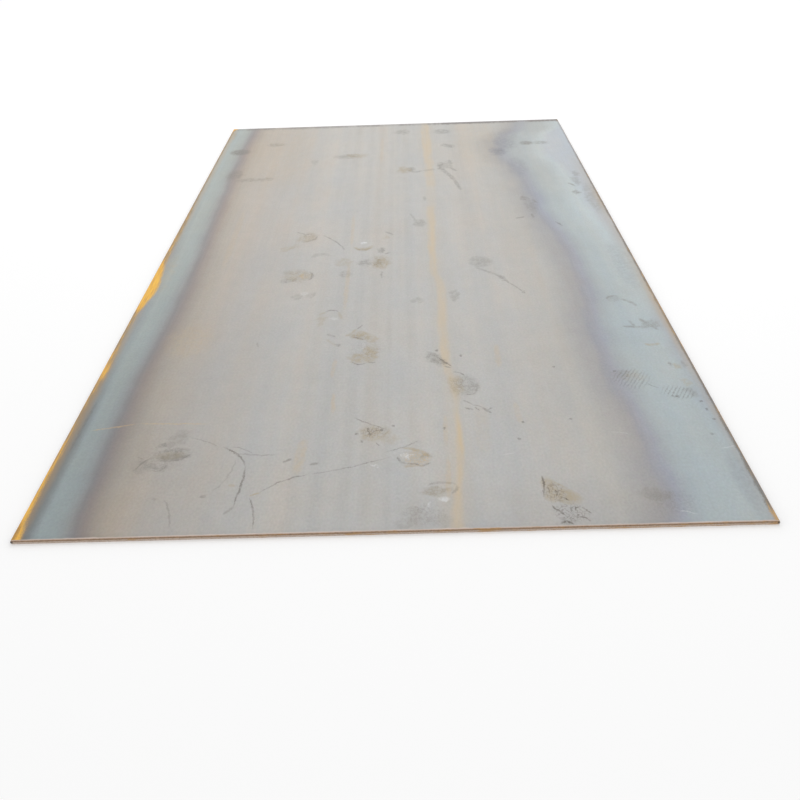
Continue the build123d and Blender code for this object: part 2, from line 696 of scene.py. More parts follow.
# Grey smudge on the left, with the dust that was dragged from it
LEFT_SMUDGE: tuple[Mark, ...] = (
    Blot(DUST, (-489, 286), (50, 28), 0.80, 3),
    Blot(DUST, (-484, 279), (47, 21), 0.92, 6, LINE),
    Blot(DUST, (-541, 247), (36, 30), 0.60, -20),
    Blot(DUST, (-514, 237), (30, 14), 0.70),
    Blot(DUST, (-517, 327), (14, 12), 0.90),
    Blot(DUST, (-488, 354), (30, 46), 0.48, -30),
    Stroke(SOOT, (-561, 226), (-530, 282), 2.4, 0.45, (-549, 255)),
    Stroke(SOOT, (-529, 228), (-489, 251), 2.2, 0.42, (-503, 229)),
    Stroke(SOOT, (-567, 283), (-545, 272), 2.2, 0.36),
    Stroke(SOOT, (-490, 263), (-446, 294), 2.4, 0.42, (-463, 271)),
    Blot(CLAY, (-492, 284), (40, 20), 0.36, 6, LINE),
    scribble((-505, 275), (60, 60), 0.18),
)

# Long scratches
SCRATCHES: tuple[Mark, ...] = (
    Stroke(SOOT, (-459, 357), (-389, 315), 2.4, 0.36, (-428, 342)),
    Stroke(SOOT, (-383, 316), (-319, 230), 3.4, 0.66, (-337, 273)),
    Stroke(SOOT, (-318, 246), (-326, 86), 3.1, 0.66, (-319, 185)),
    Stroke(DUST, (-325, 94), (-341, 64), 4.2, 0.50),
    Stroke(SOOT, (-367, 312), (-310, 282), 2.6, 0.40, (-332, 303)),
    Stroke(SOOT, (-347, 284), (-256, 276), 2.8, 0.45, (-312, 279)),
    Stroke(SOOT, (-346, 270), (-381, 140), 2.2, 0.26, (-353, 196)),
    Stroke(CLAY, (-299, 127), (-272, 138), 3.2, 0.80),
    Stroke(SOOT, (-280, 134), (-175, 200), 2.6, 0.52, (-238, 174)),
    Stroke(SOOT, (-186, 197), (0, 259), 2.3, 0.44, (-92, 222)),
    Stroke(SOOT, (-25, 273), (61, 322), 2.3, 0.42, (22, 294)),
    Stroke(SOOT, (-299, 128), (-275, 10), 2.6, 0.56, (-282, 72)),
    Stroke(DUST, (-241, 247), (-221, 259), 5.0, 0.72),
    Stroke(DUST, (-182, 233), (-161, 240), 4.5, 0.66),
    Stroke(SOOT, (-724, 300), (-721, 540), 5.0, 0.34),
    Stroke(DUST, (-475, 126), (-443, 24), 3.2, 0.52, (-454, 82)),
    Stroke(RUST, (-704, 394), (-596, 423), 4.0, 0.48, (-640, 411)),
    Stroke(RUST, (-600, 423), (-425, 412), 4.0, 0.40),
    Stroke(DUST, (-368, 822), (-360, 790), 3.4, 0.60),
    Blot(CLAY, (-339, 166), (11, 7), 0.55, body=LINE),
    Blot(DUST, (-492, 124), (8, 6), 0.42, body=LINE),
    Blot(DUST, (-393, 127), (7, 7), 0.85, body=LINE),
    # Pale scratches, in the colour of the pale rubs and their painted glints
    Stroke(RUB, (708, 254), (744, 265), 2.4, 0.45),
    Stroke(RUB, (484, 335), (530, 321), 2.0, 0.25),
    Stroke(RUB, (234, 251), (268, 262), 2.0, 0.32),
    Stroke(RUB, (560, 42), (602, 27), 2.2, 0.32),
)

# Small dark dots
DOTS: tuple[Spot, ...] = (
    (-83, 353), (-71, 321), (-58, 370), (-52, 351), (-27, 367), (-1, 382), (115, 366),
    (405, 392), (295, 383), (279, 312), (112, 746), (172, 713), (724, 416), (727, 374),
    (705, 312), (719, 454), (660, 482), (671, 480), (548, 610), (402, 640),
)

# Ribbed prints and smears on the right-hand heat band
BAND_PRINTS: tuple[Mark, ...] = (
    Tread(SOOT, (582, 570), (56, 60), 0.36, -30),
    Tread(SOOT, (678, 497), (48, 36), 0.42, -20),
    Blot(DUST, (558, 592), (28, 24), 0.42, 20),
    Blot(CLAY, (590, 580), (34, 34), 0.36),
    Stroke(SOOT, (612, 547), (639, 521), 2.8, 0.48, (622, 532)),
    Blot(DUST, (711, 500), (18, 34), 0.45),
    Blot(DUST, (692, 637), (13, 12), 0.65),
    Blot(CLAY, (707, 624), (12, 16), 0.62),
    Blot(DUST, (726, 635), (11, 22), 0.45),
    Blot(CLAY, (708, 546), (16, 22), 0.50),
    Stroke(DUST, (614, 856), (668, 846), 7.0, 0.62),
    Stroke(DUST, (668, 906), (708, 824), 8.0, 0.62),
    Stroke(DUST, (640, 892), (650, 850), 6.0, 0.50),
    Blot(DUST, (694, 862), (30, 40), 0.60, -40),
    Stroke(CLAY, (650, 749), (697, 750), 8.5, 0.62, (676, 744)),
    Blot(DUST, (533, 94), (40, 28), 0.55, -10),
    Stroke(DUST, (502, 96), (546, 74), 3.4, 0.50, (516, 81)),
    scribble((560, 70), (60, 50), 0.14),
    Blot(HAZE, (722, 130), (26, 150), 0.40, body=LINE),
)

# Faint rusty streaks along the rolling direction
RUST_STREAKS: tuple[Mark, ...] = (
    Stroke(RUST, (-143, 440), (-146, 540), 7.0, 0.30),
    Stroke(RUST, (-156, 610), (-150, 720), 7.0, 0.24),
    Stroke(RUST, (-142, 1000), (-142, 1360), 9.0, 0.24),
    Stroke(RUST, (-208, 190), (-200, 345), 15.0, 0.28),
    Stroke(RUST, (290, 370), (286, 480), 9.0, 0.18),
    Stroke(RUST, (266, 640), (268, 780), 10.0, 0.26),
    Stroke(RUST, (112, 80), (118, 260), 7.0, 0.26),
    Stroke(RUST, (116, 290), (120, 430), 8.0, 0.24),
    Stroke(RUST, (196, 240), (205, 480), 24.0, 0.12),
    Stroke(RUST, (-540, 1300), (-545, 1900), 14.0, 0.16),
    Stroke(RUST, (-140, 1480), (-146, 1800), 8.0, 0.22),
    Stroke(RUST, (-56, 2380), (-56, 2800), 10.0, 0.18),
    Blot(RUST, (-552, 840), (80, 120), 0.18),
    Blot(RUST, (350, 2700), (120, 500), 0.14),
    Blot(RUST, (-480, 2600), (160, 700), 0.14),
    Blot(RUST, (-712, 1300), (26, 180), 0.22),
    Blot(RUST, (-735, 2860), (20, 100), 0.35),
)

DOT_REACH: Spot = (5.0, 6.5)
DOT_STRENGTH = 0.62


def all_marks() -> list[Mark]:
    """Every mark on the top face, with the dots as small round blots."""
    dots = [Blot(SOOT, spot, DOT_REACH, DOT_STRENGTH, body=LINE) for spot in DOTS]
    groups = (
        CLAY_PRINT, SPECKLED_PRINT, RIMMED_HEEL, FRONT_HEEL, STREAK_PRINTS, CLAY_STEPS,
        MIDDLE_PRINTS, REAR_PRINTS, LEFT_SMUDGE, SCRATCHES, dots, BAND_PRINTS, RUST_STREAKS,
    )
    return [mark for group in groups for mark in group]


@dataclass(frozen=True)
class MillScale:
    """Finish of one stretch of the top face: grey scale, heat bands, rust and what lies on it.

    A track goes by share of the length, from the front end, unless its comment says otherwise.
    """

    width: float
    length: float
    stretch: Spot

    # Heat bands: the line across at which each begins, how far noise moves it, and the colours by
    # distance to the right of it
    band_line_left: Track = (
        (0.00, -0.622), (0.10, -0.640), (0.20, -0.644), (0.30, -0.634), (0.43, -0.631),
        (0.57, -0.641), (0.70, -0.648), (0.83, -0.654), (1.00, -0.639),
    )
    band_line_right: Track = (
        (0.00, 0.525), (0.06, 0.544), (0.15, 0.530), (0.28, 0.521), (0.40, 0.544),
        (0.50, 0.530), (0.57, 0.500), (0.70, 0.488), (0.77, 0.465), (0.84, 0.426),
        (0.90, 0.446), (0.95, 0.525), (1.00, 0.560),
    )
    wander_left: float = 0.016
    wander_right: float = 0.040
    left_band: Stops = (
        (-0.105, (0.140, 0.150, 0.165)), (-0.085, (0.190, 0.225, 0.232)),
        (-0.065, (0.224, 0.271, 0.274)), (-0.035, (0.216, 0.252, 0.248)),
        (-0.016, (0.190, 0.207, 0.206)), (0.000, (0.143, 0.135, 0.138)),
        (0.015, (0.172, 0.142, 0.130)), (0.035, (0.233, 0.195, 0.159)),
        (0.060, (0.285, 0.250, 0.205)), (0.100, (0.324, 0.290, 0.250)),
        (0.180, (0.345, 0.320, 0.290)), (0.385, (0.377, 0.366, 0.345)),
    )
    right_band: Stops = (
        (-0.300, (0.390, 0.380, 0.360)), (-0.160, (0.390, 0.370, 0.340)),
        (-0.090, (0.370, 0.355, 0.325)), (-0.055, (0.328, 0.312, 0.290)),
        (-0.030, (0.293, 0.277, 0.266)), (-0.008, (0.262, 0.256, 0.256)),
        (0.010, (0.226, 0.230, 0.258)), (0.030, (0.240, 0.256, 0.306)),
        (0.050, (0.270, 0.305, 0.328)), (0.080, (0.318, 0.368, 0.376)),
        (0.120, (0.335, 0.388, 0.398)), (0.180, (0.322, 0.378, 0.396)),
        (0.215, (0.270, 0.300, 0.335)),
    )
    # Tints of the bands towards the rear and at the front end, and grey in the right one
    warm_lift: Colour = (1.28, 1.23, 1.18)
    cool_lift: Colour = (1.36, 1.35, 1.34)
    front_shade: Colour = (0.90, 0.90, 0.91)
    rear_tint: Colour = (1.000, 0.985, 0.955)
    rear_grey: Colour = (0.285, 0.285, 0.280)
    rear_grey_strength: float = 0.45

    # Pale and dark lines that the rolls left, by place across, and how strong they come out; tints
    # by a noise of broad streaks and blotches, and the streaks' share in it
    roll_lines: Track = (
        (-0.300, 0.0), (-0.235, 1.0), (-0.207, -0.6), (-0.185, 0.4), (-0.160, -1.2),
        (-0.130, 1.6), (-0.100, -1.0), (-0.080, 1.2), (-0.060, -1.2), (-0.030, 0.9),
        (-0.012, -0.8), (0.000, 1.3), (0.015, 0.2), (0.024, 0.6), (0.042, -1.3),
        (0.078, 1.4), (0.120, -0.4), (0.165, -0.3), (0.205, 1.4), (0.258, -1.0),
        (0.316, 1.3), (0.350, 0.0),
    )
    roll_line_strength: Spot = (0.009, 0.030)
    roll_tints: Stops = (
        (0.32, (0.955, 0.985, 1.030)), (0.46, (0.990, 0.998, 1.010)),
        (0.54, (1.010, 1.000, 0.988)), (0.68, (1.052, 0.998, 0.950)),
    )
    broad_share: float = 0.55
    # Noises that lighten and darken the scale, as (stretch, start, detail, amount)
    level_noises: Sequence[tuple[Spot, float, float, float]] = (
        ((170.0, 1.3), 12.5, 2.0, 0.010),
        ((28.0, 0.5), 14.0, 2.0, 0.05),
        ((4.0, 3.0), 21.0, 3.0, 0.12),
        ((28.0, 20.0), 25.0, 3.0, 0.11),
        ((190.0, 120.0), 31.0, 3.0, 0.26),
    )
    # Noises that shift its colour, as (stretch, start, amount)
    colour_noises: Sequence[tuple[Spot, float, float]] = (
        ((210.0, 140.0), 36.0, 0.08),
        ((55.0, 40.0), 38.0, 0.06),
    )

    # Tan streak along the face: its line across, half its width and its strength
    streak_line: Track = (
        (0.00, 0.126), (0.04, 0.132), (0.11, 0.147), (0.17, 0.148), (0.21, 0.137),
        (0.27, 0.131), (0.35, 0.138), (0.40, 0.134), (0.44, 0.122), (0.60, 0.129),
        (0.77, 0.138), (0.90, 0.136), (1.00, 0.137),
    )
    streak_half_width: Track = (
        (0.00, 0.018), (0.04, 0.014), (0.08, 0.012), (0.15, 0.013), (0.22, 0.017),
        (0.28, 0.018), (0.38, 0.018), (0.48, 0.018), (0.60, 0.021), (0.80, 0.024),
        (1.00, 0.022),
    )
    streak_strength: Track = (
        (0.00, 0.46), (0.04, 0.66), (0.07, 0.60), (0.09, 0.84), (0.12, 0.80),
        (0.16, 0.46), (0.20, 0.50), (0.23, 0.58), (0.30, 0.52), (0.37, 0.48),
        (0.41, 0.40), (0.46, 0.66), (0.56, 0.58), (0.615, 0.44), (0.64, 0.18),
        (0.68, 0.18), (0.705, 0.44), (0.80, 0.52), (0.93, 0.60), (1.00, 0.34),
    )
    streak_sway: float = 0.012
    halo_strength: float = 0.20
    streak_colour: Colour = (0.525, 0.380, 0.190)

    # How far noise carries the rim of a mark: finely, broadly and, for smears, raggedly; and the
    # room beyond its own ends that a mark needs for that, all in millimetres
    fine_waver: tuple[float, float, float] = (5.0, 6.0, 0.0)
    broad_waver: tuple[float, float, float] = (6.0, 7.0, 0.0)
    ragged_waver: tuple[float, float, float] = (34.0, 42.0, 0.0)
    mark_margin: float = 40.0
    # How much the speckles of a smear show in a line
    line_speckle: float = 0.4

    # How far noise frays the rust along the edges, raggedly and finely
    edge_ragged: float = 0.007
    edge_speck: float = 0.008

    # Rust on the left edge: its width and its glow, how much fibres and that glow count, and the
    # colours by their sum
    rust_width_left: Track = (
        (0.000, 0.016), (0.011, 0.012), (0.033, 0.006), (0.070, 0.005), (0.120, 0.005),
        (0.180, 0.006), (0.229, 0.011), (0.285, 0.007), (0.335, 0.008), (0.350, 0.014),
        (0.372, 0.021), (0.396, 0.028), (0.421, 0.024), (0.447, 0.018), (0.475, 0.012),
        (0.600, 0.009), (0.700, 0.004), (0.830, 0.003), (0.975, 0.003), (1.000, 0.024),
    )
    rust_glow_left: Track = (
        (0.00, 1.00), (0.05, 0.85), (0.10, 0.70), (0.14, 0.45), (0.18, 0.35),
        (0.23, 0.65), (0.29, 0.35), (0.34, 0.50), (0.37, 0.95), (0.43, 1.00),
        (0.47, 0.50), (0.60, 0.30), (0.70, 0.15), (0.96, 0.15), (0.98, 0.50),
        (1.00, 1.00),
    )
    fibre_glow: float = 0.80
    track_glow: float = 0.45
    left_rust: Stops = (
        (0.42, (0.300, 0.225, 0.140)), (0.60, (0.430, 0.280, 0.120)),
        (0.76, (0.820, 0.430, 0.050)), (0.98, (0.970, 0.560, 0.065)),
    )
    left_rust_strength: float = 0.94
    left_shade: Colour = (0.056, 0.057, 0.058)
    left_shade_strength: float = 0.54
    front_tan: Colour = (0.270, 0.165, 0.055)
    rear_tan: Colour = (0.400, 0.305, 0.180)
    corner_brown: Colour = (0.270, 0.135, 0.030)
    corner_strength: float = 0.70

    # Rust on the right edge: strength of the tan fringe, and colours of the brown line by fibres,
    # with what the front corner and the fringe add to them
    fringe_right: Track = (
        (0.00, 0.10), (0.10, 0.15), (0.14, 0.35), (0.165, 0.15), (0.20, 0.35),
        (0.24, 0.50), (0.28, 0.76), (0.34, 0.78), (0.38, 0.60), (0.43, 0.28),
        (0.57, 0.22), (0.62, 0.58), (0.67, 0.30), (0.75, 0.05), (1.00, 0.00),
    )
    right_tan: Colour = (0.370, 0.280, 0.185)
    right_stain: Colour = (0.36, 0.31, 0.24)
    right_stain_strength: float = 0.42
    corner_glow: float = 0.27
    fringe_glow: float = 0.14
    right_rust: Stops = (
        (0.42, (0.120, 0.110, 0.098)),
        (0.62, (0.220, 0.175, 0.125)),
        (0.80, (0.520, 0.310, 0.110)),
    )

    # Lines along the two ends, and how ragged they are
    front_line: Colour = (0.620, 0.510, 0.450)
    front_ragged: float = 0.003
    rear_line: Colour = (0.130, 0.112, 0.100)
    rear_ragged: float = 0.030

    # Clean scale's roughness, what soil and rust add to it, and the relief: its depth, and the
    # shares of rolled lines and flecks in it
    roughness: Spot = (0.41, 0.45)
    soil_roughness: float = 0.28
    rust_roughness: float = 0.4
    relief: float = 0.0003
    rolled_share: float = 0.25
    fleck_share: float = 0.4

    def material(self) -> bpy.types.Material:
        """Makes the finish."""
        board = SurfaceBoard("mill_scale")
        across, along, _ = board.parts(board.place)
        share = along * (1 / self.length) + 0.5
        colour = self._bands(board, across, share)
        colour = self._rolling_streaks(board, colour, across)
        colour = self._rust_streak(board, colour, across, share)
        colour, soil_and_glints = self._soil(board, colour)
        colour = self._ends(board, colour, across, along)
        colour, rusted = self._edge_rust(board, colour, across, share)
        fleck = board.grain((420.0, 300.0), 9.3, 2.0)
        rolled = board.grain((150.0, 4.0), 4.1, 2.0)
        added = soil_and_glints * self.soil_roughness + rusted * self.rust_roughness
        roughness = rolled.ease(*self.roughness) + added
        height = rolled * self.rolled_share + fleck * self.fleck_share
        return board.steel(colour, roughness, height, self.relief, SCALE_IOR)

    def _bands(self, board: SurfaceBoard, across: Field, share: Field) -> Field:
        """Grey middle and the two heat bands, whose lines wander a little."""
        wander = board.grain((9.0, 5.0), 1.7, 3.0) - NOISE_MIDDLE
        left = across - board.track(share, self.band_line_left) + wander * self.wander_left
        right = across - board.track(share, self.band_line_right) + wander * self.wander_right
        paler = share.rise(0.12, 0.60)
        lift = board.blend(left.rise(0.25, -0.02, 0.22, 1.0) * paler, WHITE, self.warm_lift)
        warm_side = board.dye(board.ramp(left, self.left_band), lift)
        greyer = right.rise(-0.02, 0.03) * right.rise(0.26, 0.10) * share.rise(0.60, 0.84)
        cool_side = board.ramp(right, self.right_band)
        cool_side = board.blend(greyer * self.rear_grey_strength, cool_side, self.rear_grey)
        lift = board.blend(right.rise(0.10, 0.23) * paler, WHITE, self.cool_lift)
        shaded = share.rise(0.07, 0.0) * right.rise(0.03, -0.02)
        cool_side = board.dye(cool_side, board.blend(shaded, lift, self.front_shade))
        colour = board.blend(across.rise(-0.06, 0.06), warm_side, cool_side)
        return board.dye(colour, board.blend(share.rise(0.45, 1.0), WHITE, self.rear_tint))

    def _rolling_streaks(self, board: SurfaceBoard, colour: Field, across: Field) -> Field:
        """Fine lines, broad tints and soft clouds that the rolls left."""
        broad = board.grain((15.0, 0.35), 3.2, 3.0)
        blotch = board.grain((6.0, 4.0), 71.0, 3.0)
        mottle = broad * self.broad_share + blotch * (1.0 - self.broad_share)
        colour = board.dye(colour, board.ramp(mottle, self.roll_tints))
        lines = board.track(across, self.roll_lines) * blotch.ease(*self.roll_line_strength)
        level = lines + (1.0 - NOISE_MIDDLE * sum(row[-1] for row in self.level_noises))
        for stretch, start, detail, amount in self.level_noises:
            level = board.math("MULTIPLY_ADD", board.grain(stretch, start, detail), amount, level)
        colour = board.dye(colour, level)
        for stretch, start, amount in self.colour_noises:
            shift = board.grain(stretch, start, 2.0, "Color")
            base = 1.0 - NOISE_MIDDLE * amount
            shift = board.vector("MULTIPLY_ADD", shift, (amount,) * 3, (base,) * 3)
            colour = board.dye(colour, shift)
        return colour

    def _rust_streak(
        self, board: SurfaceBoard, colour: Field, across: Field, share: Field
    ) -> Field:
        """The tan streak that runs the length of the face, right of its middle."""
        sway = board.grain((30.0, 9.0), 8.8, 2.0) - NOISE_MIDDLE
        aside = abs(across - board.track(share, self.streak_line) + sway * self.streak_sway)
        patchy = board.grain((45.0, 7.0), 15.5, 3.0).rise(0.34, 0.58, 0.66, 1.0)
        spread = aside - board.track(share, self.streak_half_width)
        halo = spread.rise(0.034, -0.006) * self.halo_strength
        core = spread.rise(0.005, -0.015).most(halo)
        cover = core * patchy * board.track(share, self.streak_strength)
        return board.blend(cover, colour, self.streak_colour)

    def _marks(self) -> list[Mark]:
        """The marks that reach this stretch."""
        first, last = (end * MM_PER_METRE for end in self.stretch)
        nearby = []
        for mark in all_marks():
            start, end = mark.stretch()
            if start < last + self.mark_margin and end > first - self.mark_margin:
                nearby.append(mark)
        return nearby

    def _soil(self, board: SurfaceBoard, colour: Field) -> tuple[Field, Field]:
        """Ragged, patchy prints and smudges, wavering lines, fine scribbles, and pale rubs with
        painted highlights.
        """
        coarse = board.grain((42.0, 36.0), 40.0, 3.0, "Color")
        waver = board.grain((46.0, 38.0), 45.0, 1.0, "Color")
        fine = board.grain((260.0, 200.0), 50.0, 2.0, "Color")
        wavers = Vector(self.fine_waver) + Vector(self.broad_waver)
        front = Vector((0.0, self.length / 2 * MM_PER_METRE, 1.0)) - wavers * NOISE_MIDDLE
        flat = (MM_PER_METRE, MM_PER_METRE, 0.0)
        steady = board.vector("MULTIPLY_ADD", board.place, flat, front)
        steady = board.vector("MULTIPLY_ADD", fine, self.fine_waver, steady)
        steady = board.vector("MULTIPLY_ADD", waver, self.broad_waver, steady)
        ragged = board.vector("MULTIPLY_ADD", coarse, self.ragged_waver, steady)
        ragged = board.vector("SUBTRACT", ragged, Vector(self.ragged_waver) * NOISE_MIDDLE)
        worn = board.grain((70.0, 50.0), 60.0, 2.0).rise(0.34, 0.58, 0.40, 1.0)
        speckled = board.grain((330.0, 240.0), 65.0, 2.0).rise(0.34, 0.60, 0.50, 1.0)
        faded = board.grain((85.0, 60.0), 68.0, 1.0).rise(0.36, 0.58, 0.60, 1.0)
        thread = abs(board.grain((110.0, 80.0), 52.0, 1.0) - NOISE_MIDDLE).rise(0.085, 0.020)
        bodies = {
            SMEAR: (ragged, worn * speckled),
            LINE: (steady, faded * (speckled * self.line_speckle + (1.0 - self.line_speckle))),
            SCRIBBLE: (steady, thread),
        }
        nearby = self._marks()
        soil_and_glints: Operand = 0.0
        for soil in Soil:
            cover: Operand = 0.0
            for body, (where, texture) in bodies.items():
                marks = [mark for mark in nearby if mark.soil is soil and mark.body is body]
                thickest: Operand = 0.0
                for mark in marks:
                    thickest = mark.cover(board, where).most(thickest)
                if marks:
                    cover = (texture * thickest).most(cover)
            colour = board.blend(cover, colour, soil.value)
            soil_and_glints = cover + soil_and_glints
        return colour, soil_and_glints

    def _ends(self, board: SurfaceBoard, colour: Field, across: Field, along: Field) -> Field:
        """Bright line where the front end was sheared, dark line along the rear end."""
        ragged = board.grain((60.0, 60.0), 90.0, 3.0) - NOISE_MIDDLE
        patchy = board.grain((14.0, 1.0), 93.0, 3.0).rise(0.36, 0.58, 0.30, 0.75)
        front = along + self.length / 2 + ragged * self.front_ragged
        colour = board.blend(front.rise(0.0045, 0.0020) * patchy, colour, self.front_line)
        rear = self.length / 2 - along + ragged * self.rear_ragged
        bold = across.rise(-0.10, 0.30, 0.90, 1.55)
        return board.blend(rear.rise(0.046, 0.018) * patchy * bold, colour, self.rear_line)

    def _edge_rust(
        self, board: SurfaceBoard, colour: Field, across: Field, share: Field
    ) -> tuple[Field, Field]:
        """Rust along both long edges, and how thick it is."""
        ragged = board.grain((90.0, 22.0), 70.0, 3.0) - NOISE_MIDDLE
        speck = board.grain((420.0, 260.0), 84.0, 2.0) - NOISE_MIDDLE
        fibre = board.grain((320.0, 14.0), 80.0, 3.0)
        frayed = ragged * self.edge_ragged + speck * self.edge_speck
        inset = across + self.width / 2 + frayed
        colour, left = self._left_edge(board, colour, inset, share, fibre)
        inset = self.width / 2 - across + frayed
        colour, right = self._right_edge(board, colour, inset, share, fibre)
        return colour, left.most(right)

    def _left_edge(
        self, board: SurfaceBoard, colour: Field, inset: Field, share: Field, fibre: Field
    ) -> tuple[Field, Field]:
        """Orange rust along the left edge, with a dark shade and a tan fringe beside it."""
        shade = inset.rise(0.048, 0.024) * share.rise(0.28, 0.12) * self.left_shade_strength
        colour = board.blend(shade, colour, self.left_shade)
        rearward = share.rise(0.20, 0.36)
        tan = board.blend(rearward, self.front_tan, self.rear_tan)
        fringe = inset.rise(0.029, 0.010) * rearward.rise(0.0, 1.0, 0.68, 0.46)
        colour = board.blend(fringe, colour, tan)
        rusted = (board.track(share, self.rust_width_left) - inset).rise(-0.008, 0.006)
        track = board.track(share, self.rust_glow_left)
        glow = fibre * self.fibre_glow + track * self.track_glow
        rust = board.ramp(glow, self.left_rust)
        colour = board.blend(rusted * self.left_rust_strength, colour, rust)
        corner = inset.rise(0.008, 0.002) * share.rise(0.026, 0.010) * self.corner_strength
        return board.blend(corner, colour, self.corner_brown), rusted

    def _right_edge(
        self, board: SurfaceBoard, colour: Field, inset: Field, share: Field, fibre: Field
    ) -> tuple[Field, Field]:
        """A brown line along the right edge, with a tan fringe and a faint stain beside it."""
        middle = share.rise(0.22, 0.34) * share.rise(0.86, 0.74)
        stain = inset.rise(0.055, 0.008) * middle * self.right_stain_strength
        colour = board.blend(stain, colour, self.right_stain)
        warm = board.track(share, self.fringe_right)
        colour = board.blend(inset.rise(0.026, 0.005) * warm, colour, self.right_tan)
        rim = inset - share.rise(0.10, 0.03, 0.0, 0.002)
        rusted = rim.rise(0.009, 0.002) * fibre.rise(0.30, 0.60, 0.60, 0.95)
        rusted = rusted * share.rise(0.70, 0.90, 1.0, 0.5)
        corner = share.rise(0.020, 0.004)
        glow = fibre + corner * self.corner_glow + warm * self.fringe_glow
        return board.blend(rusted, colour, board.ramp(glow, self.right_rust)), rusted


@dataclass(frozen=True)
class MillEdge:
    """Finish of the two rolled long sides: dark scale broken up by rust."""

    thickness: float
    # Colours by a noise of patches and specks, and the patches' share in it
    rust: Stops = (
        (0.38, (0.070, 0.055, 0.045)), (0.48, (0.150, 0.095, 0.055)),
        (0.58, (0.360, 0.190, 0.065)), (0.72, (0.700, 0.380, 0.085)),
    )
    patch_share: float = 0.7
    relief: float = 0.0006

    def material(self) -> bpy.types.Material:
        """Makes the finish, with more rust above than below and on the left than on the right."""
        board = SurfaceBoard("rusted_mill_edge")
        across, _, height = board.parts(board.place)
        patch = board.grain((60.0, 9.0, 60.0), 5.0, 3.0)
        speck = board.grain((600.0, 260.0, 600.0), 17.0, 3.0)
        upper = height.rise(0.72 * self.thickness, self.thickness, -0.10, 0.14)
        rusted = patch * self.patch_share + speck * (1.0 - self.patch_share)
        rusted = rusted + across.rise(-0.1, 0.1, 0.04, -0.04) + upper
        roughness = rusted.rise(0.36, 0.60, 0.55, 0.88)
        return board.steel(board.ramp(rusted, self.rust), roughness, speck, self.relief, RUST_IOR)


@dataclass(frozen=True)
class ShearedEnd:
    """Finish of the two sheared ends: bright roll-over, scored land and rough broken slope."""

    thickness: float
    roll_over: float
    land: float
    # Darkest and palest colours of the land and of the slope
    land_colours: tuple[Colour, Colour] = ((0.190, 0.110, 0.060), (0.360, 0.225, 0.130))
    slope_colours: tuple[Colour, Colour] = ((0.400, 0.310, 0.245), (0.640, 0.535, 0.460))
    edge_colour: Colour = (0.600, 0.480, 0.405)
    edge_strength: float = 0.85
    rust_colour: Colour = (0.480, 0.260, 0.070)
    rust_strength: float = 0.75
    ragged: float = 0.0018
    # Depth of the relief, and the share of scores in it beside specks
    relief: float = 0.0005
    score_share: float = 0.4

    def material(self) -> bpy.types.Material:
        """Makes the finish, laid out by depth below the face that rolled over."""
        board = SurfaceBoard("sheared_end")
        across, along, height = board.parts(board.place)
        rear = board.math("GREATER_THAN", along, 0.0)
        front_depth = self.thickness - height
        depth = front_depth + (height - front_depth) * rear
        ragged = board.grain((240.0, 1.0, 90.0), 3.0, 3.0) - NOISE_MIDDLE
        depth = depth + ragged * self.ragged
        score = board.grain((1500.0, 1.0, 40.0), 23.0, 2.0)
        patch = board.grain((26.0, 1.0, 160.0), 33.0, 3.0)
        speck = board.grain((900.0, 1.0, 700.0), 43.0, 2.0)
        foot = self.roll_over + self.land
        land = board.blend(score.ease(), *self.land_colours)
        slope = board.blend(speck.ease(), *self.slope_colours)
        colour = board.blend(depth.rise(foot - 0.0004, foot + 0.0006), land, slope)
        edge = depth.rise(self.roll_over, self.roll_over * 0.4)
        colour = board.blend(edge * self.edge_strength, colour, self.edge_colour)
        rusty = patch + across.rise(-0.4, 0.4, -0.05, 0.04)
        orange = rusty.rise(0.52, 0.68) * speck.rise(0.25, 0.55, 0.4, 0.9)
        colour = board.blend(orange * self.rust_strength, colour, self.rust_colour)
        roughness = orange.rise(0.0, 0.5, 0.55, 0.85)
        bumps = score * self.score_share + speck * (1.0 - self.score_share)
        return board.steel(colour, roughness, bumps, self.relief, RUST_IOR)


@dataclass(frozen=True)
class PlainScale:
    """Finish of the underside: mill scale with faint streaks and a little rust."""

    # Colours by a noise of streaks and clouds, and the streaks' share in it
    scale: Stops = (
        (0.35, (0.235, 0.232, 0.230)),
        (0.50, (0.300, 0.292, 0.280)),
        (0.65, (0.345, 0.325, 0.295)),
    )
    streak_share: float = 0.5
    rust_colour: Colour = (0.400, 0.260, 0.130)
    rust_strength: float = 0.4
    roughness: Spot = (0.45, 0.75)
    relief: float = 0.0003

    def material(self) -> bpy.types.Material:
        """Makes the finish."""
        board = SurfaceBoard("plain_scale")
        streak = board.grain((120.0, 1.4), 2.0, 3.0)
        cloud = board.grain((5.0, 3.5), 12.0, 3.0)
        mottle = streak * self.streak_share + cloud * (1.0 - self.streak_share)
        colour = board.ramp(mottle, self.scale)
        stain = board.grain((14.0, 3.0), 27.0, 3.0).rise(0.58, 0.72)
        colour = board.blend(stain * self.rust_strength, colour, self.rust_colour)
        roughness = stain.rise(0.0, 1.0, *self.roughness)
        return board.steel(colour, roughness, streak, self.relief, SCALE_IOR)


class Surface(Enum):
    """Which finish a face of the plate takes; the top face has one for each stretch."""

    MILL_EDGE = 0
    SHEARED_END = 1
    UNDERSIDE = 2
    TOP = 3


def unit_noise(*place: float) -> float:
    """Smooth noise at a place, from 0 to 1."""
    return 0.5 + 0.5 * noise.noise(place)


